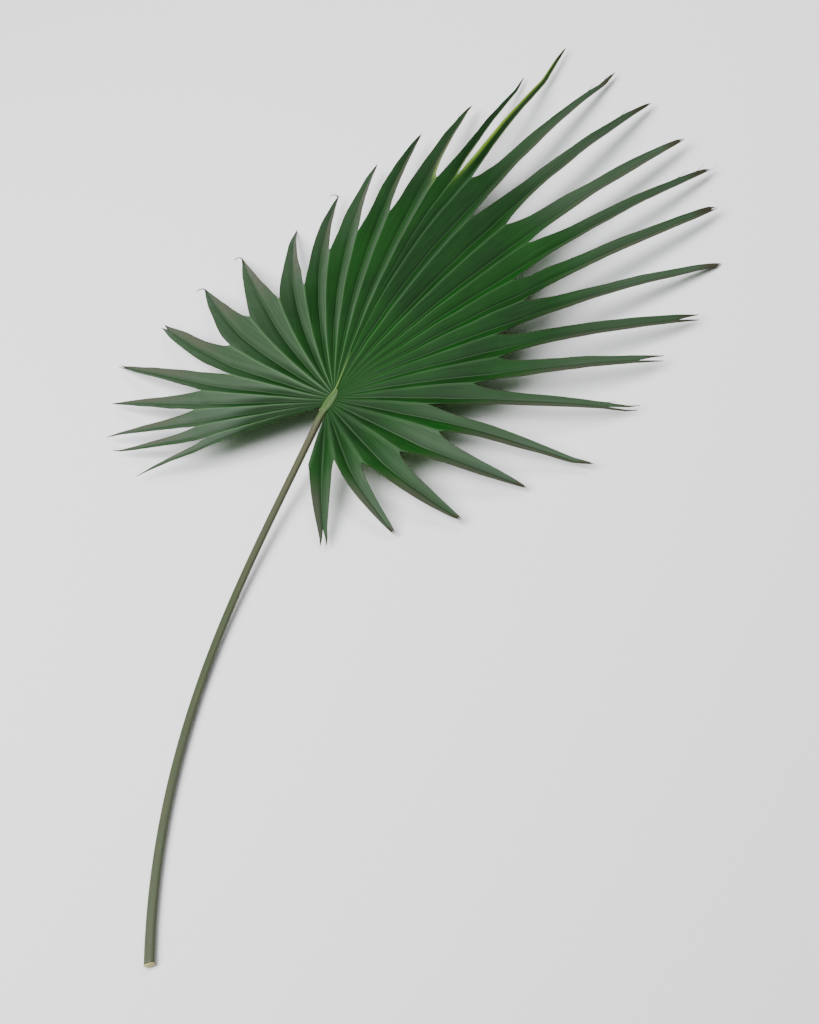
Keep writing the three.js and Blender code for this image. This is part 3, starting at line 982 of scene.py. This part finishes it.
def with_dry_edges_and_painted_shade(m, colour):
    """Paints a greyer, browner shade on the free part's right side, and dries margins and tips to a thin
    brown edge.
    """
    dry_edge = m.math("MULTIPLY", m.ramp(m.across, *DRY_EDGE_ACROSS), m.ramp(m.free, *DRY_EDGE_FREE))
    uneven = m.math("ADD", m.free, m.math("MULTIPLY", m.clouds, DRY_TIP_UNEVENNESS))
    dry = m.math("MAXIMUM", dry_edge, m.ramp(uneven, *DRY_TIP))
    painted_side_shade = m.math("MULTIPLY", m.side, m.ramp(m.free, *SHADED_SIDE_FREE))
    painted_side_shade = m.math("MULTIPLY", painted_side_shade, m.ramp(m.across, *SHADED_SIDE_ACROSS))
    return m.mix(dry, m.mix(painted_side_shade, colour, srgb(*SHADED_SIDE_TONE)), srgb(*DRY_TONE))


def blade_material(name, tones, finish, painted_glow=None):
    """The last argument, if given, is the colour of the painted yellow-green glow of light through the
    thin blade, where the side of the blade shows it.
    """
    deep, fresh, painted_sheen, crest, valley = (srgb(*tone) for tone in tones)
    roughness, painted_line_strength = finish
    m = BladeNodes(name)
    colour = tissue_and_painted_sheen(m, deep, fresh, painted_sheen, crest)
    colour = with_painted_fold_lines(m, colour, crest, valley, painted_line_strength)
    if painted_glow:
        amount = m.add("Attribute", attribute_name="painted_glow").outputs["Fac"]
        colour = m.mix(amount, colour, srgb(*painted_glow))
    m.link(with_dry_edges_and_painted_shade(m, colour), m.shader.inputs["Base Color"])
    matte = m.ramp(m.painted_sheen, *BARE_RANGE, roughness + BARE_ROUGHNESS, roughness)
    matte = m.math("ADD", matte, m.ramp(m.fibres, *FIBRE_ROUGHNESS))
    m.link(matte, m.shader.inputs["Roughness"])
    m.shader.inputs["Specular IOR Level"].default_value = BLADE_SPECULAR
    relief = m.bump(m.bands, *BAND_RELIEF)
    relief = m.bump(m.veins, *VEIN_RELIEF, relief)
    relief = m.bump(m.fibres, *FIBRE_RELIEF, relief)
    m.link(relief, m.shader.inputs["Normal"])
    return m.material


def stalk_material():
    m = Nodes("stalk_olive")
    _, length, _ = m.split(m.grain())
    fibres = m.streaks(*STALK_FIBRES)
    blotches = m.streaks(*BLOTCHES)
    colour = m.mix(m.ramp(length, *STALK_UPPER_RANGE), srgb(*STALK_TONE), srgb(*STALK_UPPER_TONE))
    colour = m.mix(m.ramp(length, *COSTA_RANGE), colour, srgb(*COSTA_TONE))
    colour = m.mix(m.ramp(fibres, *STALK_FIBRE_RANGE), colour, srgb(*STALK_FIBRE_TONE))
    colour = m.mix(m.ramp(blotches, *BLOTCH_RANGE), colour, srgb(*BLOTCH_TONE))
    m.link(colour, m.shader.inputs["Base Color"])
    m.link(m.ramp(blotches, *BLOTCH_ROUGHNESS), m.shader.inputs["Roughness"])
    m.link(m.bump(fibres, *STALK_FIBRE_RELIEF), m.shader.inputs["Normal"])
    return m.material


def cut_material():
    m = Nodes("cut_end")
    bundles = m.add("TexVoronoi")
    m.link(m.place(), bundles.inputs["Vector"])
    bundles.inputs["Scale"].default_value = BUNDLE_SCALE
    dots = m.ramp(bundles.outputs["Distance"], *BUNDLE_RANGE)
    m.link(m.mix(dots, srgb(*PITH_TONE), srgb(*BUNDLE_TONE)), m.shader.inputs["Base Color"])
    m.shader.inputs["Roughness"].default_value = CUT_ROUGHNESS
    m.link(m.bump(dots, *BUNDLE_RELIEF), m.shader.inputs["Normal"])
    return m.material


def plain_material(name, tone, roughness):
    m = Nodes(name)
    m.shader.inputs["Base Color"].default_value = srgb(*tone)
    m.shader.inputs["Roughness"].default_value = roughness
    return m.material


# The pieces

stalk_bm = leaf_stalk()
stalk_low, stalk_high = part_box("leaf_stalk")
SHIFT = Vector((
    stalk_high[0] - max(vert.co.x for vert in stalk_bm.verts),
    stalk_low[1] - min(vert.co.y for vert in stalk_bm.verts),
    stalk_low[2] - min(vert.co.z for vert in stalk_bm.verts),
))

blade_bm = fan_blade()
midrib_bm = midribs()
thread_bm = tip_threads()
hastula_bm = hastula()
spike_bm = costa_spike()
for bm in (stalk_bm, blade_bm, midrib_bm, thread_bm, hastula_bm, spike_bm):
    bmesh.ops.translate(bm, verts=bm.verts, vec=SHIFT)

upper = blade_material("blade_upper", UPPER_TONES, UPPER_FINISH, PAINTED_GLOW_TONE)
lower = blade_material("blade_lower", LOWER_TONES, LOWER_FINISH)
blade = new_piece("fan_blade_fine", blade_bm, [upper, lower], "fan_blade")
wall = blade.modifiers.new("thickness", "SOLIDIFY")
wall.thickness = BLADE_THICKNESS
wall.offset = 0
wall.material_offset = 1
new_piece("midribs_fine", midrib_bm, [lower], "fan_blade")
dry_thread = plain_material("dry_thread", *DRY_THREAD)
new_piece("tip_threads", thread_bm, [dry_thread], "fan_blade")
hastula_green = plain_material("hastula_green", *HASTULA_GREEN)
new_piece("hastula", hastula_bm, [hastula_green], "leaf_stalk")
spike_green = plain_material("spike_green", *SPIKE_GREEN)
new_piece("costa_spike", spike_bm, [spike_green], "leaf_stalk")
new_piece("leaf_stalk_fine", stalk_bm, [stalk_material(), cut_material()], "leaf_stalk")


# The camera looks down on the leaf, turned so that the fan spreads up to the right.
CAMERA_AZIMUTH = 52.6
CAMERA_ELEVATION = 39.8
CAMERA_ROLL = -28.7
CAMERA_DISTANCE = 4.0
SENSOR_HEIGHT = 36  # mm
VIEW_HEIGHT = 1.30  # what the frame takes in at that distance, in metres
AIM = (0.108, -0.130)  # from the hub to the picture's middle, along the picture's right and up

# Large soft lights: the direction along the picture's right, up and towards the viewer,
# the distance from the hub, the width and height, and the power in watts.
SOFTBOXES = {
    "key_softbox": ((-0.75, 0.4, 0.5), 3.2, (3.2, 3.2), 255),
    "top_softbox": ((0.1, 1.0, 0.3), 3.0, (2.4, 1.2), 45),
}
FLOOR_HALF_WIDTH = 12
PAPER = ((252, 252, 254), 0.9)  # screen colour and roughness
WORLD_COLOUR = (0.86, 0.9, 0.96, 1)
WORLD_STRENGTH = 0.16


def camera_axes():
    azimuth, elevation, roll = (radians(a) for a in (CAMERA_AZIMUTH, CAMERA_ELEVATION, CAMERA_ROLL))
    forward = Vector((-sin(azimuth) * cos(elevation), cos(azimuth) * cos(elevation), -sin(elevation)))
    level = Vector((cos(azimuth), sin(azimuth), 0))
    raised = level.cross(forward)
    right = level * cos(roll) + raised * sin(roll)
    return right, raised * cos(roll) - level * sin(roll), forward


RIGHT, UP, FORWARD = camera_axes()
HUB = SHIFT + Vector((0, 0, HUB_HEIGHT))


def facing(right, up, back, place):
    return Matrix.Translation(place) @ Matrix((right, up, back)).transposed().to_4x4()


def place_camera():
    data = bpy.data.cameras.new("camera")
    camera = bpy.data.objects.new("camera", data)
    bpy.context.scene.collection.objects.link(camera)
    middle = HUB + RIGHT * AIM[0] + UP * AIM[1]
    camera.matrix_world = facing(RIGHT, UP, -FORWARD, middle - FORWARD * CAMERA_DISTANCE)
    data.sensor_fit = "VERTICAL"
    data.sensor_height = SENSOR_HEIGHT
    data.lens = SENSOR_HEIGHT * CAMERA_DISTANCE / VIEW_HEIGHT
    bpy.context.scene.camera = camera


def softbox(name, direction, distance, size, power):
    data = bpy.data.lights.new(name, "AREA")
    data.shape = "RECTANGLE"
    data.size, data.size_y = size
    data.energy = power
    light = bpy.data.objects.new(name, data)
    bpy.context.scene.collection.objects.link(light)
    back = (RIGHT * direction[0] + UP * direction[1] - FORWARD * direction[2]).normalized()
    side = Vector((0, 0, 1)).cross(back).normalized()
    light.matrix_world = facing(side, back.cross(side), back, HUB + back * distance)


def studio():
    """White paper under the leaf, a dim sky and the softboxes."""
    floor_bm = bmesh.new()
    bmesh.ops.create_grid(floor_bm, x_segments=1, y_segments=1, size=FLOOR_HALF_WIDTH)
    data = bpy.data.meshes.new("floor")
    floor_bm.to_mesh(data)
    floor_bm.free()
    data.materials.append(plain_material("floor_paper", *PAPER))
    ground = bpy.data.objects.new("floor", data)
    bpy.context.scene.collection.objects.link(ground)
    world = bpy.data.worlds.new("studio")
    world.use_nodes = True
    world.node_tree.nodes["Background"].inputs[0].default_value = WORLD_COLOUR
    world.node_tree.nodes["Background"].inputs[1].default_value = WORLD_STRENGTH
    bpy.context.scene.world = world
    for name, settings in SOFTBOXES.items():
        softbox(name, *settings)


place_camera()
studio()
